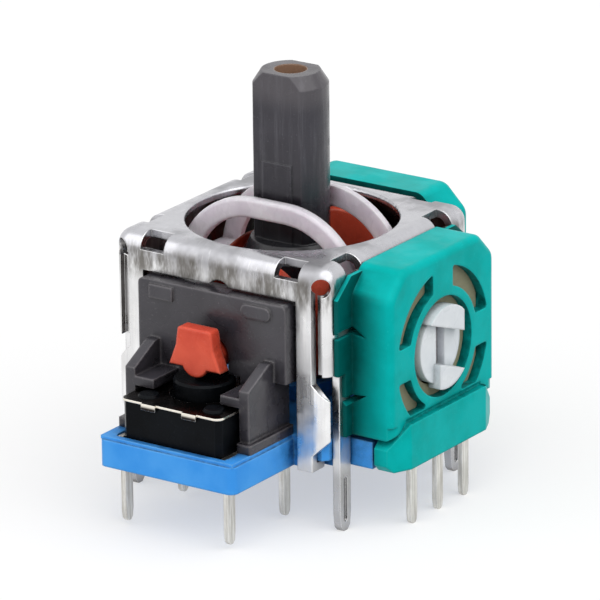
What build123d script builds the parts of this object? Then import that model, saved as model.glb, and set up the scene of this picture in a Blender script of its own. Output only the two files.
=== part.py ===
# Two-axis analog stick with a push switch, sized for a hand controller.
# Origin: the stick's axis at rest, on the underside of the base. +Z runs up the stick,
# -Y is the switch side, the sensors stand on +X (right) and +Y (rear). Millimetres.

import os

from build123d import *

os.makedirs("parts", exist_ok=True)

# Driving dimensions: clearances
running = 0.05
sliding = 0.1
air = 0.2
swing = 0.3

# Driving dimensions: stick, which the rocker, the yoke and the shell are built around
shaft_radius = 2.04
flat_cut = 0.68
shaft_step = 0.66
stick_reach = 13.75
tip_hole_radius = 0.87
tip_hole_depth = 4.0
trunnion_radius = 0.95
flat_half = shaft_radius - flat_cut
stick_hub_radius = shaft_radius + shaft_step
foot_sphere = stick_hub_radius - sliding

# Driving dimensions: rocker and yoke
cheek_thick = 0.8
arm_gap = 1.15
yoke_band = 1.1
yoke_play = 0.52
yoke_rail = 0.52
arch_proud = 1.4
arch_flat = 1.05
ball_gap = 0.9
cheek_room = 0.9
ring_gap = 2.45
ring_wall = 0.75
front_setback = 0.9
ring_rise = 1.0
ring_drop = 1.5
end_wall_radius = 4.5
neck_radius = 0.85
cheek_inner = stick_hub_radius + air
cheek_outer = cheek_inner + cheek_thick
yoke_half = cheek_outer + arm_gap + yoke_band
yoke_slot = flat_half + yoke_play
yoke_width = yoke_slot + yoke_rail
yoke_bend = yoke_half - arch_flat
cheek_sphere = yoke_half - ball_gap
cheek_along = yoke_width + cheek_room
ring_inner = yoke_width + ring_gap
ring_outer = ring_inner + ring_wall
front_inner = ring_inner - front_setback
front_outer = ring_outer - front_setback

# Driving dimensions: folded shell
sheet = 0.45
bend = 0.9
yoke_room = 0.5
rim_flat = 0.26
corner_cut = 1.05
window_post = 0.95
slot_setback = 2.6
slot_width = 1.5
ear_setback = 0.15
leg_setback = 1.55
leg_width = 1.0
pin_tip = -3.5
shell_inner = yoke_half + yoke_room
shell_half = shell_inner + sheet
opening_radius = shell_half - bend - rim_flat
front_wall_half = shell_half - corner_cut
window_half = front_wall_half - window_post
slot_offset = shell_half - slot_setback
ear_half = shell_half - ear_setback
leg_offset = shell_half - leg_setback

# Driving dimensions: sensors, which stand between the legs and set the pivot's height
leg_room = 1.9
sensor_low_step = 1.1
sensor_high_step = 0.2
sensor_depth = 2.7
sensor_wall = 0.55
sensor_corner = 1.35
block_proud = 0.35
block_depth = 1.1
board_thick = 0.5
housing_wall = 0.9
key_recess = 0.75
sensor_half = shell_half - leg_room
sensor_drop = sensor_half - sensor_low_step
sensor_rise = sensor_half + sensor_high_step
sensor_face = shell_half + sensor_depth
sensor_block_face = sensor_face + block_proud
block_inner = sensor_face - block_depth
board_face = sensor_face - sensor_wall
board_back = board_face - board_thick
key_reach = sensor_face - key_recess
cavity_drop = sensor_drop - housing_wall

# Driving dimensions: rotor, disc first and the key slot last
disc_gap = 0.15
disc_ledge = 0.8
hub_wall = 0.8
hub_cheek = 1.5
hook_proud = 0.25
disc_radius = cavity_drop - disc_gap
hub_radius = disc_radius - disc_ledge
hook_radius = hub_radius + hook_proud
key_height = 2 * (hub_radius - hub_wall)
key_width = 2 * (hub_radius - hub_cheek)

# Driving dimensions: base and heights that follow from it
base_top = 1.7
sensor_stand = 0.15
shell_stand = 0.35
window_drop = 1.95
foot_step = 0.35
ear_step = 0.5
ear_foot = 0.9
well_floor = 0.6
lobe_step = 0.2
pivot_z = base_top + sensor_stand + sensor_drop
stick_top = pivot_z + stick_reach
shell_top = pivot_z + sensor_rise + shell_stand
yoke_rise = shell_top - pivot_z + arch_proud
window_top = shell_top - window_drop
side_wall_foot = pivot_z - foot_step
ear_top = side_wall_foot - ear_step
base_half = shell_inner - running
lobe_half = sensor_half - swing
lobe_reach = block_inner - swing
lobe_top = base_top - lobe_step

# Driving dimensions: push switch on the shelf in front of the shell
shelf_gap = 0.57
shelf_wall = 1.18
shelf_lip = 0.5
switch_inset = 1.7
switch_floor = 0.8
switch_pin_tip = -3.2
switch_pin_margin = 0.6
cover_sheet = 0.12
press_gap = 0.18
plunger_radius = 1.65
plunger_stand = 0.97
shelf_half = window_half - shelf_gap
switch_half = shelf_half - shelf_wall
switch_center_y = switch_inset - shell_half - switch_half
shelf_front = switch_center_y - switch_half - shelf_lip
switch_pin_pitch = 2 * (switch_half - switch_pin_margin)
plunger_top = pivot_z - neck_radius - press_gap
switch_top = plunger_top - plunger_stand

# Driving dimensions: bracket over the switch
bracket_side_gap = 0.18
bracket_top_gap = 0.15
bracket_back_gap = 0.25
bracket_ahead = 0.75
cheek_ahead = 1.6
cheek_wall = 0.6
bracket_half = window_half - bracket_side_gap
bracket_top = window_top - bracket_top_gap
bracket_front = switch_center_y + bracket_ahead
bracket_back = bracket_back_gap - shell_inner
cheek_front = switch_center_y - cheek_ahead

# Planes of the views and of the two sensors
right_side = Plane(origin=(0, 0, pivot_z), x_dir=(0, 1, 0), z_dir=(1, 0, 0))
rear_side = Plane(origin=(0, 0, pivot_z), x_dir=(-1, 0, 0), z_dir=(0, 1, 0))
front_view = Plane.XZ
side_view = Plane.YZ
far = 4 * shell_half


def blade(center, width, top, tip):
    """Outline of a flat pin with a narrowed tip, as points across and up."""
    half = width / 2
    knee = half * 4 / 5
    point = half / 3
    return (
        (center - half, top),
        (center - half, tip + width),
        (center - knee, tip + half / 2),
        (center - point, tip),
        (center + point, tip),
        (center + knee, tip + half / 2),
        (center + half, tip + width),
        (center + half, top),
    )


# Folded shell: a drawn box opened into walls, ears and legs
leg_top = side_wall_foot + bend
fold_foot = shell_top - bend - sheet
corner_gap_top = fold_foot + air
relief_radius = 0.5
relief_rise = 0.15
sensor_window_half = sensor_half - bend
sensor_window_top = fold_foot - sliding
tab_setback = 0.15
hold_tab_inner = window_half + tab_setback
hold_tab_reach = 1.3
bearing_radius = 1.25
bearing_wall = 1.2

with BuildPart() as shell:
    with BuildSketch():
        Rectangle(2 * shell_half, 2 * shell_half)
    extrude(amount=shell_top)
    fillet(shell.edges().filter_by(Axis.Z), bend)
    fillet(shell.faces().sort_by(Axis.Z)[-1].edges(), bend)
    offset(amount=-sheet, openings=shell.faces().sort_by(Axis.Z)[0])
    # Round opening over the stick, with a softened rim
    with BuildSketch(Plane.XY.offset(shell_top)):
        Circle(opening_radius)
    extrude(amount=-2 * sheet, mode=Mode.SUBTRACT)
    opening_rim = shell.edges().filter_by(GeomType.CIRCLE).filter_by(
        lambda edge: abs(edge.radius - opening_radius) < running
    )
    fillet(opening_rim, sheet / 3)
    # Slots cut across the folds, two on each side
    with BuildSketch(Plane.XY.offset(shell_top - sheet - bend / 2 + running)):
        for turn in range(4):
            with Locations(Rot(0, 0, 90 * turn)):
                with Locations((shell_half, -slot_offset), (shell_half, slot_offset)):
                    Rectangle(2 * corner_cut, slot_width)
    extrude(amount=far, mode=Mode.SUBTRACT)
    # Front window and rear window in one cut, with the relief arch over the middle
    with BuildSketch(front_view):
        with Locations((0, window_top / 2)):
            Rectangle(2 * window_half, window_top)
        with Locations((0, window_top - sheet)):
            Circle(slot_width / 2)
    extrude(amount=far, both=True, mode=Mode.SUBTRACT)
    # Right wall stands open in front of the sensor
    with BuildSketch(side_view):
        with Locations((0, sensor_window_top / 2)):
            Rectangle(2 * sensor_window_half, sensor_window_top)
    extrude(amount=far, mode=Mode.SUBTRACT)
    # Side walls end above the ears, apart from the left bearing tongue
    with BuildSketch(side_view):
        with Locations((0, side_wall_foot / 2)):
            Rectangle(2 * shell_inner, side_wall_foot)
    extrude(amount=far, mode=Mode.SUBTRACT)
    with BuildSketch(side_view):
        with Locations((0, side_wall_foot / 2)):
            Rectangle(2 * shell_inner, side_wall_foot)
        with Locations((0, side_wall_foot / 2)):
            Rectangle(2 * (bearing_radius + bearing_wall), side_wall_foot, mode=Mode.SUBTRACT)
        with Locations((0, pivot_z)):
            Circle(bearing_radius)
    extrude(amount=-far, mode=Mode.SUBTRACT)
    with BuildSketch(side_view):
        with Locations((0, (pivot_z - bearing_radius - bearing_wall) / 2)):
            Rectangle(2 * shell_inner, pivot_z - bearing_radius - bearing_wall)
    extrude(amount=-far, mode=Mode.SUBTRACT)
    # Front and rear walls are cut free of the sides and shaped into ears
    for wall_view in (front_view, Plane(front_view.origin, (-1, 0, 0), (0, 1, 0))):
        with BuildSketch(wall_view.offset(shell_inner)):
            with Locations((0, far / 2 + side_wall_foot - air)):
                for side in (-1, 1):
                    with Locations((side * (front_wall_half + shell_inner) / 2, 0)):
                        Rectangle(shell_inner - front_wall_half, far)
            with Locations((0, corner_gap_top + far / 2)):
                Rectangle(2 * far, far, mode=Mode.SUBTRACT)
            with Locations((0, (side_wall_foot - far) / 2)):
                Rectangle(4 * shell_half, far + side_wall_foot)
            for side in (-1, 1):
                with BuildLine():
                    Polyline(
                        (0, side_wall_foot),
                        (side * front_wall_half, side_wall_foot),
                        (side * front_wall_half, ear_top),
                        (side * ear_half, ear_top - (ear_half - front_wall_half)),
                        (side * ear_half, ear_foot + (ear_half - front_wall_half)),
                        (side * front_wall_half, ear_foot),
                        (side * front_wall_half, 0),
                        (0, 0),
                        close=True,
                    )
                make_face(mode=Mode.SUBTRACT)
        extrude(amount=far, mode=Mode.SUBTRACT)
    # Round reliefs where the folds meet at the corners
    for across in (-1, 1):
        for along in (-1, 1):
            corner = ((shell_inner + front_wall_half) / 2 * across, shell_inner * along)
            relief = Plane(
                origin=(*corner, corner_gap_top + relief_rise), z_dir=(across, along, 0)
            )
            with BuildSketch(relief):
                Circle(relief_radius)
            extrude(amount=2 * bend, both=True, mode=Mode.SUBTRACT)
    # Hold-down tabs folded under the base
    for along in (-1, 1):
        for across in (-1, 1):
            with BuildSketch():
                with Locations((
                    across * (hold_tab_inner + front_wall_half) / 2,
                    along * (shell_half - hold_tab_reach / 2),
                )):
                    RectangleRounded(front_wall_half - hold_tab_inner, hold_tab_reach, bend / 4)
            extrude(amount=sheet)
    # Board legs with rounded tips and a pressed rib
    for across in (-1, 1):
        leg_face = side_view.offset(across * shell_inner)
        for along in (-1, 1):
            with BuildSketch(leg_face):
                with BuildLine():
                    Polyline(*blade(along * leg_offset, leg_width, leg_top, pin_tip), close=True)
                make_face()
            extrude(amount=across * sheet)
            with BuildSketch(side_view.offset(across * shell_half)):
                with Locations((along * leg_offset, pin_tip / 2)):
                    SlotOverall(-pin_tip - leg_width, leg_width / 3, rotation=90)
            extrude(amount=-across * sheet / 4, mode=Mode.SUBTRACT)


# Base plate: block with two sensor lobes, switch shelf, spring well and collar
terminal_thick = 0.3
terminal_width = 0.65
terminal_reach = switch_half + terminal_thick
pocket_half = terminal_reach + running
seat_radius = 1.85
collar_inner = seat_radius + sliding
collar_wall = 0.7
collar_rise = 0.9
collar_top = base_top + collar_rise
corner_pocket = front_wall_half + air
edge_step = 0.2

with BuildPart() as base_plate:
    with BuildSketch():
        Rectangle(2 * base_half, 2 * base_half)
    extrude(amount=base_top)
    chamfer(base_plate.edges().filter_by(Axis.Z), bend / 3)
    with BuildSketch():
        with Locations((lobe_reach / 2, 0)):
            Rectangle(lobe_reach, 2 * lobe_half)
        with Locations((0, lobe_reach / 2)):
            Rectangle(2 * lobe_half, lobe_reach)
    extrude(amount=lobe_top)
    with BuildSketch():
        with Locations((0, shelf_front / 2)):
            Rectangle(2 * shelf_half, -shelf_front)
    extrude(amount=base_top - edge_step)
    fillet(base_plate.edges().filter_by(Axis.Z).group_by(Axis.Y)[0], bend / 2)
    with BuildSketch(Plane.XY.offset(base_top - edge_step)):
        with Locations((0, shelf_front / 2)):
            Rectangle(2 * shelf_half - edge_step, -shelf_front - edge_step)
    extrude(amount=edge_step)
    # Collar that guides the spring seat
    with BuildSketch(Plane.XY.offset(base_top)):
        Circle(collar_inner + collar_wall)
    extrude(amount=collar_top - base_top)
    with BuildSketch(Plane.XY.offset(well_floor)):
        Circle(collar_inner)
    extrude(amount=collar_top, mode=Mode.SUBTRACT)
    # Pocket for the switch and slots for its terminals
    with BuildSketch(Plane.XY.offset(switch_floor)):
        with Locations((0, switch_center_y)):
            Rectangle(2 * pocket_half, 2 * (switch_half + running))
    extrude(amount=base_top, mode=Mode.SUBTRACT)
    with BuildSketch():
        with Locations((0, switch_center_y)):
            with GridLocations(2 * switch_half + terminal_thick, switch_pin_pitch, 2, 2):
                Rectangle(terminal_thick + 2 * sliding, terminal_width + 2 * sliding)
    extrude(amount=base_top, mode=Mode.SUBTRACT)
    # Corner pockets for the folded hold-down tabs
    with BuildSketch():
        with GridLocations(2 * corner_pocket, 2 * shell_half, 2, 2):
            Rectangle(
                2 * (corner_pocket - hold_tab_inner + air),
                2 * (hold_tab_reach + air),
            )
    extrude(amount=sheet + sliding, mode=Mode.SUBTRACT)


# Switch bracket: window plate, two cheeks with shelves, feet on the base
neck_slot = neck_radius + air
plunger_slot = plunger_radius + swing
shelf_bottom = switch_top + cover_sheet + air
shelf_thick = 0.5
shelf_overhang = 0.5
shelf_inner = plunger_radius + shelf_overhang
cheek_inner_x = switch_half + air
cheek_outer_x = cheek_inner_x + cheek_wall
cheek_low = shelf_bottom + shelf_thick + sheet
cheek_slope = 1.0
cheek_high = cheek_low + cheek_slope
step_drop = 0.12
bracket_step = cheek_low - step_drop
foot_toe = 0.3
foot_half = cheek_outer_x + foot_toe
foot_ahead = 0.35
foot_front = cheek_front - foot_ahead
foot_thick = 0.5
pad_proud = 0.15
pad_height = 0.75
pad_drop = 0.6
pad_inset = 1.52
pad_reach = bracket_half - pad_inset

with BuildPart() as switch_bracket:
    # Window plate, narrower below the step
    with BuildSketch(front_view.offset(-bracket_back)) as plate:
        with BuildLine():
            Polyline(
                (-bracket_half, bracket_top),
                (bracket_half, bracket_top),
                (bracket_half, bracket_step),
                (cheek_outer_x, bracket_step),
                (cheek_outer_x, base_top),
                (-cheek_outer_x, base_top),
                (-cheek_outer_x, bracket_step),
                (-bracket_half, bracket_step),
                close=True,
            )
        make_face()
        fillet(plate.vertices().group_by(Axis.Y)[-1], bend / 3)
    extrude(amount=bracket_back - bracket_front)
    # Raised pads near the upper corners
    with BuildSketch(front_view.offset(-bracket_front)):
        with Locations((-pad_reach, bracket_top - pad_drop)):
            Rectangle(2 * pad_height, pad_height)
        with Locations((pad_reach - pad_drop / 2, bracket_top - pad_drop)):
            SlotOverall(2.5 * pad_height, pad_height)
    extrude(amount=pad_proud)
    # Cheeks with slanted tops, shelves over the switch and feet
    for side in (-1, 1):
        with BuildSketch(side_view.offset(side * cheek_inner_x)):
            with BuildLine():
                Polyline(
                    (bracket_front, base_top),
                    (bracket_front, cheek_high),
                    (bracket_front - bend / 2, cheek_high),
                    (cheek_front, cheek_low),
                    (cheek_front, base_top),
                    close=True,
                )
            make_face()
        extrude(amount=side * cheek_wall)
        with BuildSketch(Plane.XY.offset(shelf_bottom)):
            with Locations((
                side * (shelf_inner + cheek_outer_x) / 2,
                (cheek_front + bracket_front) / 2,
            )):
                Rectangle(cheek_outer_x - shelf_inner, bracket_front - cheek_front)
        extrude(amount=shelf_thick)
        with BuildSketch(Plane.XY.offset(base_top)):
            with Locations((
                side * (cheek_inner_x + foot_half) / 2,
                (foot_front + bracket_back) / 2,
            )):
                RectangleRounded(
                    foot_half - cheek_inner_x, bracket_back - foot_front, foot_thick / 4
                )
        extrude(amount=foot_thick)
    # Room for the switch, the plunger and the rocker's neck
    with BuildSketch(front_view):
        with Locations((0, shelf_bottom / 2)):
            Rectangle(2 * cheek_inner_x, shelf_bottom)
        with Locations((0, (shelf_bottom + pivot_z) / 2)):
            Rectangle(2 * neck_slot, pivot_z - shelf_bottom)
        with Locations((0, pivot_z)):
            Circle(neck_slot)
    extrude(amount=far, mode=Mode.SUBTRACT)
    with BuildSketch(Plane.XY):
        with Locations((0, switch_center_y)):
            Circle(plunger_slot)
    extrude(amount=plunger_top + sliding, mode=Mode.SUBTRACT)


# Switch body: square block with a round well and four staked heads
well_gap = 0.35
well_depth = 1.75
well_radius = plunger_radius + well_gap
dome_floor = switch_top - well_depth
dome_gap = 0.4
dome_radius = well_radius - dome_gap
dome_rise = 0.45
dome_sheet = 0.15
stake_margin = 1.05
stake_offset = switch_half - stake_margin
stake_radius = 0.35
stake_head = 0.6
stake_rise = 0.13
stake_taper = 35
switch_plane = Plane.XY.offset(switch_floor).move(Location((0, switch_center_y, 0)))
cover_plane = Plane((0, switch_center_y, switch_top))

with BuildPart() as switch_body:
    with BuildSketch(switch_plane):
        Rectangle(2 * switch_half, 2 * switch_half)
    extrude(amount=switch_top - switch_floor)
    chamfer(switch_body.edges().filter_by(Axis.Z), bend / 3)
    with BuildSketch(cover_plane):
        Circle(well_radius)
    extrude(amount=dome_floor - switch_top, mode=Mode.SUBTRACT)
    with BuildSketch(cover_plane):
        with GridLocations(2 * stake_offset, 2 * stake_offset, 2, 2):
            Circle(stake_radius)
    extrude(amount=cover_sheet)
    with BuildSketch(cover_plane.offset(cover_sheet)):
        with GridLocations(2 * stake_offset, 2 * stake_offset, 2, 2):
            Circle(stake_head)
    extrude(amount=stake_rise, taper=stake_taper)


# Switch cover: thin plate with a plunger hole and small folded lips
cover_half = switch_half + running
lip_width = 0.9
lip_drop = 0.35
lip_margin = 1.85
lip_offset = switch_half - lip_margin

with BuildPart() as switch_cover:
    with BuildSketch(cover_plane):
        RectangleRounded(2 * cover_half, 2 * cover_half, bend / 2)
        Circle(plunger_radius + air, mode=Mode.SUBTRACT)
        with GridLocations(2 * stake_offset, 2 * stake_offset, 2, 2):
            Circle(stake_radius, mode=Mode.SUBTRACT)
    extrude(amount=cover_sheet)
    with BuildSketch(cover_plane.offset(cover_sheet)):
        with GridLocations(2 * lip_offset, 2 * cover_half + cover_sheet, 2, 2):
            Rectangle(lip_width, cover_sheet)
    extrude(amount=-lip_drop)


# Switch dome: a thin sprung cap on the floor of the well
dome_sphere = (dome_radius**2 + dome_rise**2) / (2 * dome_rise)

with BuildPart() as switch_dome:
    with BuildSketch(front_view.offset(-switch_center_y)):
        with BuildLine():
            outer = RadiusArc(
                (0, dome_floor + dome_rise), (dome_radius, dome_floor), dome_sphere
            )
            inner = RadiusArc(
                (0, dome_floor + dome_rise - dome_sheet),
                (dome_radius - 2 * dome_sheet, dome_floor),
                dome_sphere,
            )
            Line(outer @ 0, inner @ 0)
            Line(outer @ 1, inner @ 1)
        make_face()
    revolve(axis=Axis((0, switch_center_y, 0), (0, 0, 1)))


# Switch plunger: flange under the cover, button above and a nub over the dome
flange_radius = well_radius - sliding
flange_depth = 0.75
flange_bottom = switch_top - flange_depth
nub_radius = 0.5

with BuildPart() as switch_plunger:
    with BuildSketch(Plane((0, switch_center_y, flange_bottom))):
        Circle(flange_radius)
    extrude(amount=switch_top - running - flange_bottom)
    with BuildSketch(Plane((0, switch_center_y, flange_bottom))):
        Circle(plunger_radius)
    extrude(amount=plunger_top - flange_bottom)
    chamfer(switch_plunger.edges().sort_by(Axis.Z)[-1], edge_step / 2)
    with BuildSketch(Plane((0, switch_center_y, flange_bottom))):
        Circle(nub_radius)
    extrude(amount=dome_floor + dome_rise + sliding - flange_bottom)


# Switch terminals: a foot bar beside the body with two legs through the base
terminal_bar_top = base_top - running


def switch_terminal(side):
    with BuildPart() as terminal:
        with BuildSketch(side_view.offset(side * switch_half)):
            with Locations((switch_center_y, (switch_floor + terminal_bar_top) / 2)):
                Rectangle(2 * switch_half, terminal_bar_top - switch_floor)
            for row in (-1, 1):
                leg_center = switch_center_y + row * switch_pin_pitch / 2
                with BuildLine():
                    Polyline(
                        *blade(leg_center, terminal_width, terminal_bar_top, switch_pin_tip),
                        close=True,
                    )
                make_face()
        extrude(amount=side * terminal_thick)
    return terminal.part


# Sensor housing: eight-sided cup with a spoked face, mounting flange and pin block
flange_thick = 0.25
flange_wide = 1.3
flange_narrow = 0.6
flange_half = sensor_half + flange_wide
flange_low_half = sensor_half + flange_narrow
block_overlap = 0.7
block_shoulder = 1.4
block_slope = 1.25
block_top = block_overlap - sensor_drop
block_half = sensor_half - block_shoulder
block_edge = block_top - block_slope
tail_reach = 1.4
tail_half = block_half
tail_drop = tail_reach - block_top
block_flank_face = sensor_face - swing
face_bevel = 0.4
cup_round = 0.8
window_round = 0.15
rear_cup_step = 0.35
ring_gap_radius = 0.45
ring_band = 0.5
window_margin = 0.65
ring_inner_radius = hook_radius + ring_gap_radius
ring_outer_radius = ring_inner_radius + ring_band
window_radius = sensor_half - window_margin
spoke_half = 0.95
pin_width = 0.7
pin_thick = 0.35
pin_inset = 0.55
pin_root = block_top - pin_inset
sensor_pin_pitch = sensor_half / 2
clip_half = 1.7
clip_depth = 1.15
clip_gap = 0.45
clip_cut = 0.6
upper_corner = sensor_half - sensor_corner
upper_start = sensor_rise - sensor_corner


def octagon(inset, low, raised=0.0):
    half = sensor_half - inset
    top = sensor_rise - inset
    return (
        (-half, low),
        (half, low),
        (half, upper_start + raised),
        (upper_corner, top + raised),
        (-upper_corner, top + raised),
        (-half, upper_start + raised),
    )


def sensor_housing(place, raised):
    with BuildPart() as housing:
        # Cup
        with BuildSketch(place.offset(shell_half)) as cup:
            with BuildLine():
                Polyline(*octagon(0, -sensor_drop, raised), close=True)
            make_face()
            low_corners = cup.vertices().group_by(Axis.Y)[0]
            fillet([v for v in cup.vertices() if v not in low_corners], cup_round)
        extrude(amount=sensor_face - shell_half)
        face_edges = housing.faces().sort_by(Axis(place.origin, place.z_dir))[-1].edges()
        fillet(face_edges, face_bevel)
        # Flange against the wall, stepped clear of the legs
        with BuildSketch(place.offset(shell_half)):
            with BuildLine():
                Polyline(
                    (-flange_low_half, -sensor_drop),
                    (flange_low_half, -sensor_drop),
                    (flange_low_half, -foot_step),
                    (flange_half, -foot_step),
                    (flange_half, upper_start),
                    (sensor_half, sensor_rise - swing),
                    (-sensor_half, sensor_rise - swing),
                    (-flange_half, upper_start),
                    (-flange_half, -foot_step),
                    (-flange_low_half, -foot_step),
                    close=True,
                )
            make_face()
        extrude(amount=flange_thick)
        # Pin block below the face
        with BuildSketch(place.offset(block_inner)):
            with BuildLine():
                Polyline(
                    (-block_half, block_top),
                    (block_half, block_top),
                    (sensor_half, block_edge),
                    (sensor_half, -pivot_z + face_bevel),
                    (sensor_half - face_bevel, -pivot_z),
                    (-sensor_half + face_bevel, -pivot_z),
                    (-sensor_half, -pivot_z + face_bevel),
                    (-sensor_half, block_edge),
                    close=True,
                )
            make_face()
        extrude(amount=sensor_block_face - block_inner)
        # Both flanks of the block fall back from its proud middle
        with BuildSketch(Plane((0, 0, 0), place.x_dir, (0, 0, 1))):
            for side in (-1, 1):
                with BuildLine():
                    Polyline(
                        (side * block_half, -sensor_block_face),
                        (side * sensor_half, -block_flank_face),
                        (side * far, -block_flank_face),
                        (side * far, -far),
                        (side * block_half, -far),
                        close=True,
                    )
                make_face()
        extrude(amount=pivot_z + block_top, mode=Mode.SUBTRACT)
        # Cavity for the rotor and the board, with a slot for the board's tail
        with BuildSketch(place.offset(shell_half)):
            with BuildLine():
                Polyline(*octagon(housing_wall, -cavity_drop), close=True)
            make_face()
        extrude(amount=board_face - shell_half, mode=Mode.SUBTRACT)
        with BuildSketch(place.offset(board_back)):
            with Locations((0, -(cavity_drop + tail_drop) / 2)):
                Rectangle(2 * tail_half, tail_drop - cavity_drop)
        extrude(amount=board_thick, mode=Mode.SUBTRACT)
        # Windows between the spokes and round opening for the hub
        with BuildSketch(place.offset(board_face)) as openings:
            Circle(window_radius)
            Circle(ring_outer_radius, mode=Mode.SUBTRACT)
            Rectangle(2 * spoke_half, 4 * window_radius, mode=Mode.SUBTRACT)
            Rectangle(4 * window_radius, 2 * spoke_half, mode=Mode.SUBTRACT)
            with Locations((0, block_top - window_radius + sheet / 2)):
                Rectangle(4 * window_radius, 2 * window_radius, mode=Mode.SUBTRACT)
            fillet(openings.vertices(), window_round)
            Circle(ring_inner_radius)
        extrude(amount=far, mode=Mode.SUBTRACT)
        # Groove over the block, pin channels and side clips
        with BuildSketch(place.offset(sensor_face - running)):
            with Locations((0, block_top + running)):
                Rectangle(2 * block_half, 2 * sliding)
        extrude(amount=far, mode=Mode.SUBTRACT)
        with BuildSketch(place.offset(board_face)):
            with Locations((0, (pin_root - pivot_z) / 2)):
                with GridLocations(sensor_pin_pitch, 0, 3, 1):
                    Rectangle(pin_width, pin_root + pivot_z)
        extrude(amount=pin_thick, mode=Mode.SUBTRACT)
        for side in (-1, 1):
            side_origin = place.origin + place.x_dir * (side * (sensor_half - clip_cut))
            with BuildSketch(Plane(side_origin, place.z_dir, place.x_dir * side)):
                for tip in (-1, 1):
                    with BuildLine():
                        Polyline(
                            (shell_half, tip * clip_half),
                            (shell_half + clip_depth, tip * (clip_half - sliding)),
                            (shell_half + flange_thick, tip * (clip_half + clip_gap)),
                            (shell_half, tip * (clip_half + clip_gap / 2)),
                            close=True,
                        )
                    make_face()
            extrude(amount=flange_half, mode=Mode.SUBTRACT)
    return housing.part


# Sensor board: plate with a hub hole and a tail that carries the pins
board_hole = hub_radius + sliding


def sensor_board(place):
    with BuildPart() as board:
        with BuildSketch(place.offset(board_back)):
            with BuildLine():
                Polyline(*octagon(housing_wall + sliding, sliding - cavity_drop), close=True)
            make_face()
            with Locations((0, -(cavity_drop + tail_drop) / 2)):
                Rectangle(2 * (tail_half - sliding), tail_drop - cavity_drop - 2 * sliding)
            with Locations((0, -cavity_drop)):
                Rectangle(2 * (tail_half - sliding), 4 * sliding)
            Circle(board_hole, mode=Mode.SUBTRACT)
        extrude(amount=board_thick)
    return board.part


# Sensor pin: flat blade from the board's tail to a rounded tip
def sensor_pin(place, column):
    with BuildPart() as pin:
        with BuildSketch(place.offset(board_face)):
            with BuildLine():
                Polyline(
                    *blade(
                        column * sensor_pin_pitch,
                        pin_width - 2 * running,
                        pin_root - sliding,
                        pin_tip - pivot_z,
                    ),
                    close=True,
                )
            make_face()
        extrude(amount=pin_thick - running)
    return pin.part


# Rotor: disc behind the board, slotted hub through it and two snap hooks
rotor_start = shell_half + sliding
wiper_room = 0.7
disc_face = board_back - wiper_room
disc_thick = 0.5
hub_end = sensor_face - sliding
hook_start = board_face + sliding
hook_ahead = 0.4
hook_slant = -20
hook_parting = 1.0
hook_half = 1.6
hook_short_half = 0.75
low_wall = 0.2


def sensor_rotor(place):
    with BuildPart() as rotor:
        with BuildSketch(place.offset(rotor_start)):
            Circle(hub_radius + air)
        extrude(amount=disc_face - rotor_start)
        with BuildSketch(place.offset(disc_face)):
            Circle(disc_radius)
        extrude(amount=-disc_thick)
        with BuildSketch(place.offset(disc_face)):
            Circle(hub_radius)
        extrude(amount=hub_end - disc_face)
        # One hub wall stays lower than the others
        with BuildSketch(place.offset(hub_end - low_wall)):
            with Locations((hub_radius, 0)):
                Rectangle(2 * hub_radius, 4 * hub_radius)
        extrude(amount=far, mode=Mode.SUBTRACT)
        # Key slot through the whole rotor
        with BuildSketch(place):
            Rectangle(key_width, key_height)
        extrude(amount=far, mode=Mode.SUBTRACT)
        # Proud snap hooks at the top and bottom of the hub, parted at a slant
        with BuildSketch(place.offset(hook_start)):
            Circle(hook_radius)
            Rectangle(2 * hook_half, 2 * hook_radius, mode=Mode.INTERSECT)
            with Locations((-hub_radius - hook_short_half, -hub_radius)):
                Rectangle(2 * hub_radius, 2 * hub_radius, mode=Mode.SUBTRACT)
            Rectangle(4 * hook_radius, 2 * hook_parting, rotation=hook_slant, mode=Mode.SUBTRACT)
        extrude(amount=hub_end + hook_ahead - hook_start)
    return rotor.part


# Wiper: thin ring on the rotor's disc with two sprung fingers towards the board
wiper_sheet = 0.12
wiper_inner = hub_radius + air
wiper_outer = disc_radius - sliding
finger_width = 0.3


def sensor_wiper(place):
    with BuildPart() as wiper:
        with BuildSketch(place.offset(disc_face)):
            Circle(wiper_outer)
            Circle(wiper_inner, mode=Mode.SUBTRACT)
        extrude(amount=wiper_sheet)
        # Fingers rise from the ring's lower half
        for side in (-1, 1):
            middle = side * (wiper_inner + wiper_outer) / 2
            finger_origin = place.origin + place.x_dir * middle
            with BuildSketch(Plane(finger_origin, place.z_dir, place.x_dir)):
                with BuildLine():
                    Polyline(
                        (disc_face, 0),
                        (disc_face + wiper_sheet, 0),
                        (board_back - running, -side * wiper_outer / 2),
                        (board_back - running - wiper_sheet, -side * wiper_outer / 2),
                        close=True,
                    )
                make_face()
            extrude(amount=finger_width / 2, both=True)
    return wiper.part


# Upper yoke: arch with a long slot, arms, left journal and right key
arm_drop = 1.6
arm_round = 0.44
slot_floor = 2.8
arch_round = 0.2
journal_reach = shell_half + running

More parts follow.
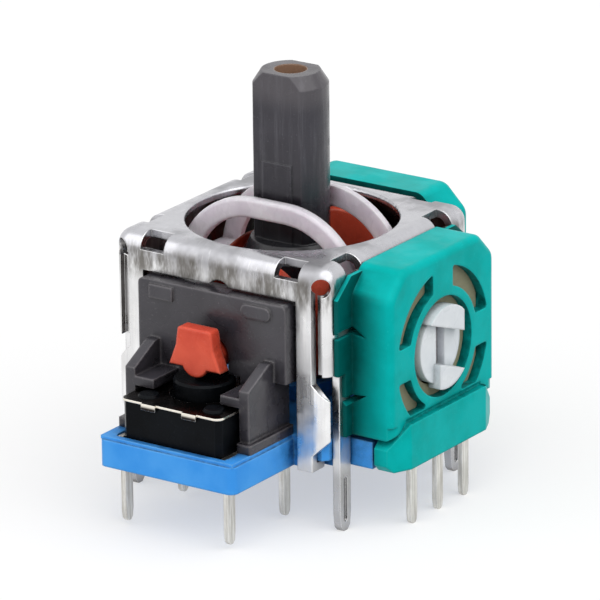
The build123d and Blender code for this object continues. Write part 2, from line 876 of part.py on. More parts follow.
with BuildPart() as upper_yoke:
    with BuildSketch(Plane((0, 0, pivot_z), (1, 0, 0), (0, -1, 0))) as arch:
        with Locations((0, (yoke_rise - arm_drop) / 2)):
            Rectangle(2 * yoke_half, yoke_rise + arm_drop)
        fillet(arch.vertices().group_by(Axis.Y)[-1], yoke_bend)
        fillet(arch.vertices().group_by(Axis.Y)[0], arm_round)
        with BuildSketch(mode=Mode.PRIVATE) as hollow:
            with Locations((0, (yoke_rise - yoke_band) / 2 - arm_drop)):
                Rectangle(
                    2 * (yoke_half - yoke_band), yoke_rise - yoke_band + 2 * arm_drop
                )
            fillet(hollow.vertices().group_by(Axis.Y)[-1], yoke_bend - yoke_band)
        add(hollow.sketch, mode=Mode.SUBTRACT)
    extrude(amount=yoke_width, both=True)
    fillet(
        upper_yoke.edges().filter_by_position(
            Axis.Y, yoke_width - running, yoke_width + running
        ) + upper_yoke.edges().filter_by_position(
            Axis.Y, -yoke_width - running, -yoke_width + running
        ),
        arch_round,
    )
    # Slot for the stick, open down to the arms
    with BuildSketch(Plane.XY.offset(pivot_z + slot_floor)):
        Rectangle(4 * yoke_half, 2 * yoke_slot)
    extrude(amount=far, mode=Mode.SUBTRACT)
    # Journal in the left wall, key in the right rotor
    with BuildSketch(right_side.offset(-yoke_half)):
        Circle(bearing_radius - running)
    extrude(amount=yoke_half - journal_reach)
    with BuildSketch(right_side.offset(yoke_half - running)):
        Rectangle(key_width, key_height)
    extrude(amount=key_reach - yoke_half + running)


# Lower rocker: ring with tall cheeks, neck with the press block, rear key
press_ahead = 0.9
press_depth = 0.8
press_top_half = 1.05
press_waist_half = 1.2
press_low_half = 1.65
press_rise = 1.85
press_waist_rise = 0.8
press_drop = 0.35
press_round = 0.2
press_front = switch_center_y - press_ahead
rear_shaft_end = shell_half - sliding
rear_shaft_radius = key_height / 2 + sliding
crown_radius = key_height / 2 - sliding
crown_y = key_reach - crown_radius

with BuildPart() as lower_rocker:
    # Cheeks cut from a ball round the pivot
    with Locations((0, 0, pivot_z)):
        Sphere(cheek_sphere)
        Box(2 * cheek_outer, 2 * cheek_along, far, mode=Mode.INTERSECT)
        Box(2 * cheek_inner, far, far, mode=Mode.SUBTRACT)
        with Locations((0, 0, -ring_drop)):
            Box(
                far, far, far,
                align=(Align.CENTER, Align.CENTER, Align.MAX),
                mode=Mode.SUBTRACT,
            )
    # Low ring that ties the cheeks together in front and behind
    with BuildSketch(Plane.XY.offset(pivot_z - ring_drop)):
        with Locations((0, front_setback / 2)):
            RectangleRounded(2 * cheek_outer, ring_outer + front_outer, bend / 2)
            Rectangle(2 * cheek_inner, ring_inner + front_inner, mode=Mode.SUBTRACT)
    extrude(amount=ring_rise + ring_drop)
    # Round end walls on the ring, behind and in front of the stick
    front_side = Plane(rear_side.origin, (1, 0, 0), (0, -1, 0))
    for end_view, depth in ((rear_side, ring_inner), (front_side, front_inner)):
        with BuildSketch(end_view.offset(depth)):
            Circle(end_wall_radius)
            with Locations((0, -ring_drop - end_wall_radius)):
                Rectangle(2 * end_wall_radius, 2 * end_wall_radius, mode=Mode.SUBTRACT)
        extrude(amount=ring_wall)
    # Trunnion holes
    with BuildSketch(right_side):
        Circle(trunnion_radius + running)
    extrude(amount=far, both=True, mode=Mode.SUBTRACT)
    # Neck and press block on the switch side
    with BuildSketch(front_side.offset(front_outer - running)):
        Circle(neck_radius)
    extrude(amount=running - press_front - front_outer - press_depth / 2)
    with BuildSketch(Plane((0, press_front, pivot_z), (1, 0, 0), (0, 1, 0))) as press_block:
        with BuildLine():
            Polyline(
                (-press_top_half, -press_rise),
                (press_top_half, -press_rise),
                (press_waist_half, -press_waist_rise),
                (press_low_half, press_drop),
                (-press_low_half, press_drop),
                (-press_waist_half, -press_waist_rise),
                close=True,
            )
        make_face()
        fillet(press_block.vertices().group_by(Axis.Y)[0], press_round)
        Circle(neck_radius)
    extrude(amount=press_depth)
    fillet(lower_rocker.faces().sort_by(Axis.Y)[0].edges(), press_round / 2)
    # Rear shaft, and a key with a crowned end that rocks in the rotor's slot
    with BuildSketch(rear_side.offset(ring_outer - running)):
        Circle(rear_shaft_radius)
    extrude(amount=rear_shaft_end - ring_outer)
    with BuildSketch(rear_side.offset(ring_outer)):
        Rectangle(key_width - 2 * sliding, 2 * crown_radius)
    extrude(amount=crown_y - ring_outer)
    with BuildSketch(side_view):
        with Locations((crown_y, pivot_z)):
            Circle(crown_radius)
    extrude(amount=key_width / 2 - sliding, both=True)


# Stick: foot ball, hub with trunnions, flatted shaft with a drilled tip
foot_trim = 0.4
foot_radius = foot_sphere - foot_trim
waist_drop = 0.6
stick_hub_rise = 3.6
shoulder_height = 0.9
shoulder_step = 0.2
shaft_start = stick_hub_rise + shoulder_height
tip_chamfer_wide = 0.45
tip_chamfer_high = 0.7
grip_half = 0.95
grip_step = 0.08
grip_height = 4.35
pad_bottom = pivot_z + shaft_start
trunnion_reach = cheek_outer - air
foot_edge = (foot_sphere**2 - foot_radius**2) ** 0.5

with BuildPart() as stick:
    with BuildSketch(Plane((0, 0, pivot_z), (1, 0, 0), (0, -1, 0))):
        with BuildLine():
            RadiusArc((0, -foot_sphere), (foot_radius, -foot_edge), -foot_sphere)
            Polyline(
                (foot_radius, -foot_edge),
                (foot_radius, -waist_drop),
                (stick_hub_radius, 0),
                (stick_hub_radius, stick_hub_rise),
                (shaft_radius + shoulder_step, shaft_start),
                (shaft_radius, shaft_start),
                (shaft_radius, stick_top - pivot_z - tip_chamfer_high),
                (shaft_radius - tip_chamfer_wide, stick_top - pivot_z),
                (0, stick_top - pivot_z),
                (0, -foot_sphere),
            )
        make_face()
    revolve(axis=Axis.Z)
    # Flats on both sides, with a proud pad on the lower part of each
    with BuildSketch(Plane.XY.offset(pad_bottom)):
        Rectangle(far, far)
        Rectangle(far, 2 * flat_half, mode=Mode.SUBTRACT)
    extrude(amount=far, mode=Mode.SUBTRACT)
    with BuildSketch(Plane.XY.offset(pad_bottom)):
        Rectangle(2 * grip_half, 2 * (flat_half + grip_step))
    extrude(amount=grip_height)
    # Trunnions
    with BuildSketch(right_side):
        Circle(trunnion_radius)
    extrude(amount=trunnion_reach, both=True)
    # Drilled tip
    with BuildSketch(Plane.XY.offset(stick_top)):
        Circle(tip_hole_radius)
    extrude(amount=-tip_hole_depth, mode=Mode.SUBTRACT)


# Spring seat: disc with a dish round the stick's foot and a spigot in the spring
seat_wrap = 0.15
seat_thick = 1.1
seat_top = pivot_z - foot_sphere + seat_wrap
seat_bottom = seat_top - seat_thick
dish_gap = 0.15
spigot_radius = 1.0
spigot_drop = 0.5

with BuildPart() as spring_seat:
    with BuildSketch(Plane.XY.offset(seat_bottom)):
        Circle(seat_radius)
    extrude(amount=seat_top - seat_bottom)
    with BuildSketch(Plane.XY.offset(seat_bottom)):
        Circle(spigot_radius)
    extrude(amount=-spigot_drop)
    with Locations((0, 0, pivot_z)):
        Sphere(foot_sphere + dish_gap, mode=Mode.SUBTRACT)


# Return spring: coil between the well's floor and the seat
spring_margin = 0.4
spring_radius = seat_radius - spring_margin
spring_wire = 0.15
spring_turns = 3.5
spring_low = well_floor + spring_wire
spring_high = seat_bottom - spring_wire

with BuildPart() as return_spring:
    with BuildLine():
        coil = Helix(
            pitch=(spring_high - spring_low) / spring_turns,
            height=spring_high - spring_low,
            radius=spring_radius,
            center=(0, 0, spring_low),
        )
    with BuildSketch(Plane(origin=coil @ 0, z_dir=coil % 0)):
        Circle(spring_wire)
    sweep(path=coil)


# Labels and files, one for each piece
pieces = {
    "shell": shell.part,
    "base_plate": base_plate.part,
    "switch_bracket": switch_bracket.part,
    "switch_body": switch_body.part,
    "switch_cover": switch_cover.part,
    "switch_dome": switch_dome.part,
    "switch_plunger": switch_plunger.part,
    "switch_terminal_left": switch_terminal(-1),
    "switch_terminal_right": switch_terminal(1),
    "upper_yoke": upper_yoke.part,
    "lower_rocker": lower_rocker.part,
    "stick": stick.part,
    "spring_seat": spring_seat.part,
    "return_spring": return_spring.part,
}
for side_name, place, raised in (("right", right_side, 0), ("rear", rear_side, rear_cup_step)):
    pieces[side_name + "_sensor_housing"] = sensor_housing(place, raised)
    pieces[side_name + "_sensor_board"] = sensor_board(place)
    pieces[side_name + "_rotor"] = sensor_rotor(place)
    pieces[side_name + "_wiper"] = sensor_wiper(place)
    for number in (1, 2, 3):
        pieces[f"{side_name}_sensor_pin_{number}"] = sensor_pin(place, number - 2)

for name, piece in pieces.items():
    piece.label = name
    export_step(piece, f"parts/{name}.step")
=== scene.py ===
# Two-axis analog stick with a push switch: looks, lights and camera.
# Blender works in metres; sizes here are millimetres times MM, in the same frame as the CAD.

import math

import bpy
from mathutils import Matrix, Vector


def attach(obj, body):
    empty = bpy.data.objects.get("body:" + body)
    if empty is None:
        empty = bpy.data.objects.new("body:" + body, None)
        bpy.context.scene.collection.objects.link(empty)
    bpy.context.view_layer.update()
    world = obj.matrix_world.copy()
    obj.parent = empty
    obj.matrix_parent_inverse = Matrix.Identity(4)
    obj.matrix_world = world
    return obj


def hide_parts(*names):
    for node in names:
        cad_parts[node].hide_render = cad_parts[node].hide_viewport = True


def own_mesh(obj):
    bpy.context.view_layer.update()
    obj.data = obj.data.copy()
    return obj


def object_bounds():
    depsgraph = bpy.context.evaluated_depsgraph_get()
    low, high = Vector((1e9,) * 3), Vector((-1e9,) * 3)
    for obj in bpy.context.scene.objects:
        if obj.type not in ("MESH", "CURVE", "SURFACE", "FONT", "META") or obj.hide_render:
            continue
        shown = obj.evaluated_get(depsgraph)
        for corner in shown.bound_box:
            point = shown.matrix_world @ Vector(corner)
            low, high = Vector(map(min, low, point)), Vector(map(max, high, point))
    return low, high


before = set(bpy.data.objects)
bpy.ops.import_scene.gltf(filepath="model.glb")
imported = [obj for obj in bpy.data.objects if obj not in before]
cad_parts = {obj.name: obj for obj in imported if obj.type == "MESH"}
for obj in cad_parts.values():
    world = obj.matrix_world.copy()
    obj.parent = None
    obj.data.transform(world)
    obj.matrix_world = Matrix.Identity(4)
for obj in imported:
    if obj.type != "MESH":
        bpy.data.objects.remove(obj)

MM = 0.001
cad_low, cad_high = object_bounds()
scene = bpy.context.scene

# Places on the part that its finishes refer to, in millimetres
base_top = 1.7
cover_underside = 3.75
window_top = 9.35
shell_top = 11.3
shell_face = 6.9
stick_bore = 0.87
stick_bore_foot = 15.5
stick_tip = cad_high[2] / MM


def paint(red, green, blue):
    """A colour as it is read off a screen, from 0 to 255, as Blender's linear colour."""
    linear = []
    for part in (red, green, blue):
        share = part / 255
        linear.append(share / 12.92 if share <= 0.04045 else ((share + 0.055) / 1.055) ** 2.4)
    return (*linear, 1.0)


# Node helpers
def add_node(tree, kind, **settings):
    node = tree.nodes.new(kind)
    for name, value in settings.items():
        setattr(node, name, value)
    return node


def feed(tree, source, target):
    """Sets a socket to a value, or links it from another socket."""
    if isinstance(source, bpy.types.NodeSocket):
        tree.links.new(source, target)
    else:
        target.default_value = source


def arithmetic(tree, operation, first, second=0.0, clamp=False):
    node = add_node(tree, "ShaderNodeMath", operation=operation, use_clamp=clamp)
    feed(tree, first, node.inputs[0])
    feed(tree, second, node.inputs[1])
    return node.outputs[0]


def blend_colours(tree, share, first, second):
    node = add_node(tree, "ShaderNodeMix", data_type="RGBA")
    feed(tree, share, node.inputs["Factor"])
    feed(tree, first, node.inputs[6])
    feed(tree, second, node.inputs[7])
    return node.outputs[2]


def remap(tree, value, from_low, from_high, to_low=0.0, to_high=1.0):
    node = add_node(tree, "ShaderNodeMapRange", interpolation_type="SMOOTHSTEP")
    feed(tree, value, node.inputs["Value"])
    for name, limit in (
        ("From Min", from_low),
        ("From Max", from_high),
        ("To Min", to_low),
        ("To Max", to_high),
    ):
        feed(tree, limit, node.inputs[name])
    return node.outputs["Result"]


def place_mm(tree, stretch=(1, 1, 1)):
    """Position in the piece's own frame, in millimetres, stretched along each axis."""
    where = add_node(tree, "ShaderNodeTexCoord")
    mapping = add_node(tree, "ShaderNodeMapping")
    mapping.inputs["Scale"].default_value = [s / MM for s in stretch]
    tree.links.new(where.outputs["Object"], mapping.inputs["Vector"])
    return mapping.outputs["Vector"]


def facing_of(tree):
    """The surface's own direction, in the piece's own frame."""
    return add_node(tree, "ShaderNodeTexCoord").outputs["Normal"]


def axes_of(tree, vector):
    """The X, Y and Z of a vector, each on its own."""
    split = add_node(tree, "ShaderNodeSeparateXYZ")
    tree.links.new(vector, split.inputs[0])
    return split.outputs


def height_mm(tree):
    return axes_of(tree, place_mm(tree))["Z"]


def level_share(tree):
    """1 on level faces, 0 on upright ones."""
    return arithmetic(tree, "ABSOLUTE", axes_of(tree, facing_of(tree))["Z"])


def noise(tree, vector, scale, detail=3.0, rough=0.55):
    node = add_node(tree, "ShaderNodeTexNoise")
    feed(tree, vector, node.inputs["Vector"])
    feed(tree, scale, node.inputs["Scale"])
    feed(tree, detail, node.inputs["Detail"])
    feed(tree, rough, node.inputs["Roughness"])
    return node.outputs["Fac"]


FLOAT = "NodeSocketFloat"
VECTOR = "NodeSocketVector"


def new_effect(name, inputs, outputs):
    """A node group with named inputs and outputs. Returns the group and its two end nodes."""
    group = bpy.data.node_groups.new(name, "ShaderNodeTree")
    for label, start in inputs.items():
        socket = group.interface.new_socket(label, in_out="INPUT", socket_type=FLOAT)
        socket.default_value = start
    for label, kind in outputs.items():
        group.interface.new_socket(label, in_out="OUTPUT", socket_type=kind)
    return group, add_node(group, "NodeGroupInput"), add_node(group, "NodeGroupOutput")


# Shared effects
def make_soft_edges():
    """Rounded normals along every edge, and a mask that is 1 on the edge."""
    group, start, end = new_effect(
        "soft_edges", {"Radius": 0.1 * MM, "Spread": 0.2}, {"Normal": VECTOR, "Edge": FLOAT}
    )
    rounded = add_node(group, "ShaderNodeBevel", samples=6)
    group.links.new(start.outputs["Radius"], rounded.inputs["Radius"])
    facing = add_node(group, "ShaderNodeNewGeometry")
    compare = add_node(group, "ShaderNodeVectorMath", operation="DOT_PRODUCT")
    group.links.new(rounded.outputs["Normal"], compare.inputs[0])
    group.links.new(facing.outputs["Normal"], compare.inputs[1])
    turned = arithmetic(group, "SUBTRACT", 1.0, compare.outputs["Value"], clamp=True)
    edge = remap(group, turned, 0.01, start.outputs["Spread"])
    group.links.new(rounded.outputs["Normal"], end.inputs["Normal"])
    group.links.new(edge, end.inputs["Edge"])
    return group


def make_mould_grain():
    """Fine texture of a moulded plastic: height, soft clouding and small specks."""
    group, start, end = new_effect(
        "mould_grain", {"Grain": 5.0}, {"Height": FLOAT, "Cloud": FLOAT, "Speck": FLOAT}
    )
    where = place_mm(group)
    height = noise(group, where, start.outputs["Grain"], detail=4.0, rough=0.6)
    cloud = remap(group, noise(group, where, scale=0.45), 0.3, 0.7)
    speck = remap(group, noise(group, where, scale=9.0, detail=2.0), 0.66, 0.74)
    group.links.new(height, end.inputs["Height"])
    group.links.new(cloud, end.inputs["Cloud"])
    group.links.new(speck, end.inputs["Speck"])
    return group


def make_drawn_streaks():
    """Upright drawing marks in sheet metal: fine lines, wide bands and their height."""
    group, start, end = new_effect(
        "drawn_streaks", {"Lines": 4.0}, {"Line": FLOAT, "Band": FLOAT, "Height": FLOAT}
    )
    upright = place_mm(group, (1, 1, 0.07))
    line = noise(group, upright, start.outputs["Lines"], detail=5.0, rough=0.65)
    band = noise(group, place_mm(group, (1, 1, 0.22)), scale=0.8)
    group.links.new(remap(group, line, 0.3, 0.7), end.inputs["Line"])
    group.links.new(remap(group, band, 0.35, 0.65), end.inputs["Band"])
    group.links.new(line, end.inputs["Height"])
    return group


def make_handling_marks():
    """Smudges, and short hairline scratches."""
    group, start, end = new_effect(
        "handling_marks", {"Size": 0.6}, {"Smudge": FLOAT, "Scratch": FLOAT}
    )
    where = place_mm(group)
    smudge = remap(group, noise(group, where, start.outputs["Size"]), 0.4, 0.68)
    hairs = noise(group, place_mm(group, (7.0, 0.5, 0.8)), scale=1.4, detail=1.0)
    scratch = remap(group, hairs, 0.68, 0.73)
    group.links.new(smudge, end.inputs["Smudge"])
    group.links.new(scratch, end.inputs["Scratch"])
    return group


def make_grime_and_painted_shade():
    """A mask for painted shade and grime: 1 in folds and corners, 0 on open faces, broken up in
    patches.
    """
    group, start, end = new_effect("grime_and_painted_shade", {"Reach": 0.6 * MM}, {"GrimeAndShade": FLOAT})
    hollow_shade = add_node(group, "ShaderNodeAmbientOcclusion", samples=6)
    group.links.new(start.outputs["Reach"], hollow_shade.inputs["Distance"])
    depth = remap(group, hollow_shade.outputs["AO"], 0.4, 0.96, 1.0, 0.0)
    patches = noise(group, place_mm(group), scale=2.2, detail=4.0)
    broken = remap(group, patches, 0.25, 0.75, 0.55, 1.0)
    group.links.new(arithmetic(group, "MULTIPLY", depth, broken, clamp=True), end.inputs["GrimeAndShade"])
    return group


effects = {
    "soft_edges": make_soft_edges(),
    "mould_grain": make_mould_grain(),
    "drawn_streaks": make_drawn_streaks(),
    "handling_marks": make_handling_marks(),
    "grime_and_painted_shade": make_grime_and_painted_shade(),
}


# Materials
class Finish:
    """One material: its tree, its shader and the effects placed in it."""

    def __init__(self, name, **sockets):
        self.material = bpy.data.materials.new(name)
        self.material.use_nodes = True
        self.tree = self.material.node_tree
        self.shader = self.tree.nodes["Principled BSDF"]
        for label, value in sockets.items():
            self.shader.inputs[label.replace("_", " ")].default_value = value

    def effect(self, name, **values):
        node = add_node(self.tree, "ShaderNodeGroup", node_tree=effects[name])
        for label, value in values.items():
            node.inputs[label].default_value = value
        return node.outputs

    def mix(self, share, first, second):
        return blend_colours(self.tree, share, first, second)

    def scaled(self, value, amount):
        return arithmetic(self.tree, "MULTIPLY", value, amount)

    def colour_so_far(self):
        return self.shader.inputs["Base Color"].links[0].from_socket

    def colour(self, source):
        feed(self.tree, source, self.shader.inputs["Base Color"])

    def roughness(self, source):
        feed(self.tree, source, self.shader.inputs["Roughness"])

    def relief(self, height, depth, normal):
        bump = add_node(self.tree, "ShaderNodeBump")
        bump.inputs["Strength"].default_value = 1.0
        bump.inputs["Distance"].default_value = depth
        feed(self.tree, height, bump.inputs["Height"])
        feed(self.tree, normal, bump.inputs["Normal"])
        feed(self.tree, bump.outputs["Normal"], self.shader.inputs["Normal"])


def moulded(
    name, body, shade, light, hollow_shade, edge_round, grain, relief, rough, edge_highlight_and_wear, reach, **sockets
):
    """A moulded plastic: clouded colour, pale edges, painted shade in hollows and a fine grain.

    body and shade are clouded together. The light colour is used for specks, and for edges
    lightened as painted highlight with some wear; the hollow colour is painted shade in corners up
    to reach deep. edge_round, relief and reach are in millimetres.
    """
    finish = Finish(name, **sockets)
    edges = finish.effect("soft_edges", Radius=edge_round * MM, Spread=0.22)
    mould = finish.effect("mould_grain", Grain=grain)
    marks = finish.effect("handling_marks", Size=0.5)
    grime_and_shade = finish.effect("grime_and_painted_shade", Reach=reach * MM)
    clouded = finish.mix(mould["Cloud"], body, shade)
    specked = finish.mix(finish.scaled(mould["Speck"], 0.25), clouded, light)
    # Edges lightened towards the light colour: painted highlight, with some wear.
    edge_lit_and_worn = finish.mix(finish.scaled(edges["Edge"], edge_highlight_and_wear), specked, light)
    # Painted shade: corners darkened towards the hollow colour, as deep as reach.
    finish.colour(finish.mix(finish.scaled(grime_and_shade["GrimeAndShade"], 0.85), edge_lit_and_worn, hollow_shade))
    finish.roughness(remap(finish.tree, marks["Smudge"], 0.0, 1.0, *rough))
    finish.relief(mould["Height"], relief * MM, edges["Normal"])
    return finish


def inward_share(tree):
    """1 on upright faces that look towards the stick's axis, 0 on outer ones."""
    flat = add_node(tree, "ShaderNodeVectorMath", operation="MULTIPLY")
    tree.links.new(place_mm(tree), flat.inputs[0])
    flat.inputs[1].default_value = (1, 1, 0)
    outward = add_node(tree, "ShaderNodeVectorMath", operation="DOT_PRODUCT")
    tree.links.new(flat.outputs["Vector"], outward.inputs[0])
    tree.links.new(facing_of(tree), outward.inputs[1])
    wholly_inward, partly_inward = -4.0, -2.0
    return remap(tree, outward.outputs["Value"], wholly_inward, partly_inward, 1.0, 0.0)


def shell_steel():
    """Tinned sheet: bright posts with edges lightened as painted highlight, a top painted darker,
    a darker streaked band under the fold, painted shade on the inside walls.
    """
    finish = Finish("shell_steel", Metallic=1.0)
    tree = finish.tree
    edges = finish.effect("soft_edges", Radius=0.09 * MM, Spread=0.3)
    drawn = finish.effect("drawn_streaks", Lines=2.6)
    marks = finish.effect("handling_marks", Size=0.4)
    grime_and_shade = finish.effect("grime_and_painted_shade", Reach=0.5 * MM)
    height = height_mm(tree)

    tin = finish.mix(drawn["Line"], paint(252, 252, 252), paint(234, 234, 236))
    banded = finish.mix(finish.scaled(drawn["Band"], 0.3), tin, paint(194, 192, 190))
    rubbed = finish.mix(finish.scaled(marks["Smudge"], 0.3), banded, paint(178, 176, 176))
    # Painted shade: the top of the sheet darkened in blotches, standing in for its dimmer
    # reflection.
    roof_shade_share = remap(tree, height, shell_top - 1.9, shell_top - 0.6, 0.0, 0.8)
    roof_shade_tone = finish.mix(marks["Smudge"], paint(186, 186, 192), paint(136, 136, 141))
    roof_shaded = finish.mix(roof_shade_share, rubbed, roof_shade_tone)

    above_window = remap(tree, height, window_top - 0.95, window_top + 0.25)
    below_roof = remap(tree, height, shell_top - 1.0, shell_top - 0.3, 0.9, 0.0)
    streaks = noise(tree, place_mm(tree, (1, 1, 0.3)), scale=1.1, detail=4.0, rough=0.7)
    band = finish.scaled(finish.scaled(above_window, below_roof), remap(tree, streaks, 0.3, 0.62))
    folded = finish.mix(band, roof_shaded, paint(102, 98, 92))
    dipped = finish.mix(remap(tree, height, -0.6, 0.6, 0.7, 0.0), folded, paint(158, 158, 160))

    scratched = finish.mix(finish.scaled(marks["Scratch"], 0.16), dipped, paint(248, 248, 248))
    # Edges lightened to near white: painted highlight.
    edge_lit_and_worn = finish.mix(finish.scaled(edges["Edge"], 0.6), scratched, paint(244, 244, 244))
    # Corners darkened brown: grime, with painted shade.
    grimy_and_shaded = finish.mix(finish.scaled(grime_and_shade["GrimeAndShade"], 0.5), edge_lit_and_worn, paint(62, 56, 50))
    # Painted shade: inward-facing walls between the base and the roof darkened.
    above_base = remap(tree, height, base_top - 0.1, base_top + 1.3)
    under_roof = remap(tree, height, shell_top - 1.0, shell_top - 0.6, 0.85, 0.0)
    inside_shade = finish.scaled(inward_share(tree), finish.scaled(above_base, under_roof))
    finish.colour(finish.mix(inside_shade, grimy_and_shaded, paint(54, 47, 42)))
    finish.roughness(remap(tree, marks["Smudge"], 0.0, 1.0, 0.24, 0.48))
    finish.relief(drawn["Height"], 0.014 * MM, edges["Normal"])
    return finish


def bright_metal(name, pale, dull, lines, rough):
    """Drawn metal: pale and dull streaks, smudges, and edges lightened as painted highlight."""
    finish = Finish(name, Metallic=1.0)
    edges = finish.effect("soft_edges", Radius=0.05 * MM, Spread=0.3)
    drawn = finish.effect("drawn_streaks", Lines=lines)
    marks = finish.effect("handling_marks", Size=0.9)
    streaked = finish.mix(drawn["Line"], pale, dull)
    smudged = finish.mix(finish.scaled(marks["Smudge"], 0.4), streaked, dull)
    # Painted highlight: edges lightened towards near white.
    finish.colour(finish.mix(finish.scaled(edges["Edge"], 0.8), smudged, paint(240, 240, 238)))
    finish.roughness(remap(finish.tree, drawn["Band"], 0.0, 1.0, *rough))
    finish.relief(drawn["Height"], 0.006 * MM, edges["Normal"])
    return finish


def cover_steel():
    """Switch cover painted dark as a reflection of the dark parts above it, with a painted bright
    reflection along the top of its sides.
    """
    # The dark tones are a painted reflection of the dark parts above the cover.
    finish = bright_metal(
        "cover_steel", pale=paint(52, 47, 46), dull=paint(34, 30, 29), lines=5.0, rough=(0.2, 0.34)
    )
    tree = finish.tree
    # Painted reflection: the top edges of the side faces made near white.
    side_faces = remap(tree, level_share(tree), 0.3, 0.8, 1.0, 0.0)
    upper = remap(tree, height_mm(tree), cover_underside - 0.13, cover_underside + 0.03)
    edge = finish.scaled(side_faces, upper)
    finish.colour(finish.mix(edge, finish.colour_so_far(), paint(236, 230, 218)))
    return finish


def stick_plastic():
    """Dark stem plastic with upright flow marks, painted shade low down, a painted highlight with
    wear near the tip, pale in the drilled tip.
    """
    finish = moulded(
        "stick_plastic", body=paint(57, 55, 63), shade=paint(46, 44, 52),
        light=paint(122, 121, 130), hollow_shade=paint(8, 8, 10), edge_round=0.12, grain=5.0,
        relief=0.008, rough=(0.24, 0.42), edge_highlight_and_wear=0.35, reach=3.2, Specular_IOR_Level=0.4,
    )
    tree = finish.tree
    flow = noise(tree, place_mm(tree, (1, 1, 0.06)), scale=2.4, detail=4.0, rough=0.7)
    marked = remap(tree, flow, 0.48, 0.72, 0.0, 0.4)
    flowed = finish.mix(marked, finish.colour_so_far(), paint(102, 101, 108))
    place = axes_of(tree, place_mm(tree))
    height = place["Z"]
    # Painted shade: the lower stem and hub darkened towards near black.
    low_shade = remap(tree, height, 9.0, 16.5, 0.85, 0.0)
    low_shaded = finish.mix(low_shade, flowed, paint(20, 20, 24))
    # Near the tip, lightened: painted highlight on the top chamfer, with some wear.
    tip_highlight_and_wear = remap(tree, height, stick_tip - 2.2, stick_tip - 0.9, 0.0, 0.35)
    rubbed = finish.mix(tip_highlight_and_wear, low_shaded, paint(112, 107, 110))

    squares = (arithmetic(tree, "MULTIPLY", place[axis], place[axis]) for axis in "XY")
    radius = arithmetic(tree, "SQRT", arithmetic(tree, "ADD", *squares))
    in_bore = remap(tree, radius, stick_bore - 0.01, stick_bore + 0.07, 1.0, 0.0)
    at_bore = remap(tree, height, stick_bore_foot - 3.5, stick_bore_foot - 3.0)
    core = arithmetic(tree, "MULTIPLY", in_bore, at_bore, clamp=True)
    finish.colour(finish.mix(core, rubbed, paint(150, 118, 96)))
    return finish


def milky_arch():
    """Half-clear slide plastic with faint flow lines."""
    finish = moulded(
        "milky_plastic", body=paint(236, 230, 238), shade=paint(214, 206, 216),
        light=paint(252, 249, 252), hollow_shade=paint(128, 112, 112), edge_round=0.12, grain=4.0,
        relief=0.006, rough=(0.24, 0.4), edge_highlight_and_wear=0.5, reach=0.8, Specular_IOR_Level=0.5,
        Subsurface_Weight=0.6, Subsurface_Radius=(1.2, 1.0, 1.1), Subsurface_Scale=1.0 * MM,
    )
    tree = finish.tree
    flow = noise(tree, place_mm(tree, (2.4, 0.35, 0.8)), scale=1.5, detail=4.0, rough=0.65)
    lines = remap(tree, flow, 0.45, 0.7, 0.0, 0.2)
    finish.colour(finish.mix(lines, finish.colour_so_far(), paint(192, 184, 196)))
    return finish


def green_housing():
    """Green sensor plastic, with painted shade on its upright flanks near the shell."""
    finish = moulded(
        "green_plastic", body=paint(4, 190, 187), shade=paint(1, 174, 169),
        light=paint(56, 222, 218), hollow_shade=paint(0, 30, 28), edge_round=0.18, grain=4.5,
        relief=0.006, rough=(0.3, 0.46), edge_highlight_and_wear=0.4, reach=2.0, Specular_IOR_Level=0.05,
    )
    tree = finish.tree
    place = axes_of(tree, place_mm(tree))
    outwards = arithmetic(
        tree, "MAXIMUM", *(arithmetic(tree, "ABSOLUTE", place[axis]) for axis in "XY")
    )
    # Painted shade: upright flanks darkened near the shell.
    shade_near_shell = remap(tree, outwards, shell_face, shell_face + 2.9, 0.8, 0.0)
    flank_shade = finish.scaled(shade_near_shell, remap(tree, level_share(tree), 0.3, 0.9, 1.0, 0.0))
    finish.colour(finish.mix(flank_shade, finish.colour_so_far(), paint(0, 44, 40)))
    return finish


def laminate_board():
    """Pressed laminate with fine fibres and soft clouding."""
    finish = Finish("laminate_board", Specular_IOR_Level=0.25)
    tree = finish.tree
    edges = finish.effect("soft_edges", Radius=0.05 * MM, Spread=0.3)
    mould = finish.effect("mould_grain", Grain=7.0)
    fibres = noise(tree, place_mm(tree, (1, 1, 5)), scale=1.6, detail=4.0, rough=0.7)
    pale = finish.mix(fibres, paint(166, 163, 136), paint(138, 133, 106))
    finish.colour(finish.mix(finish.scaled(mould["Cloud"], 0.5), pale, paint(148, 145, 118)))
    finish.roughness(remap(tree, mould["Cloud"], 0.0, 1.0, 0.5, 0.65))
    finish.relief(fibres, 0.01 * MM, edges["Normal"])
    return finish


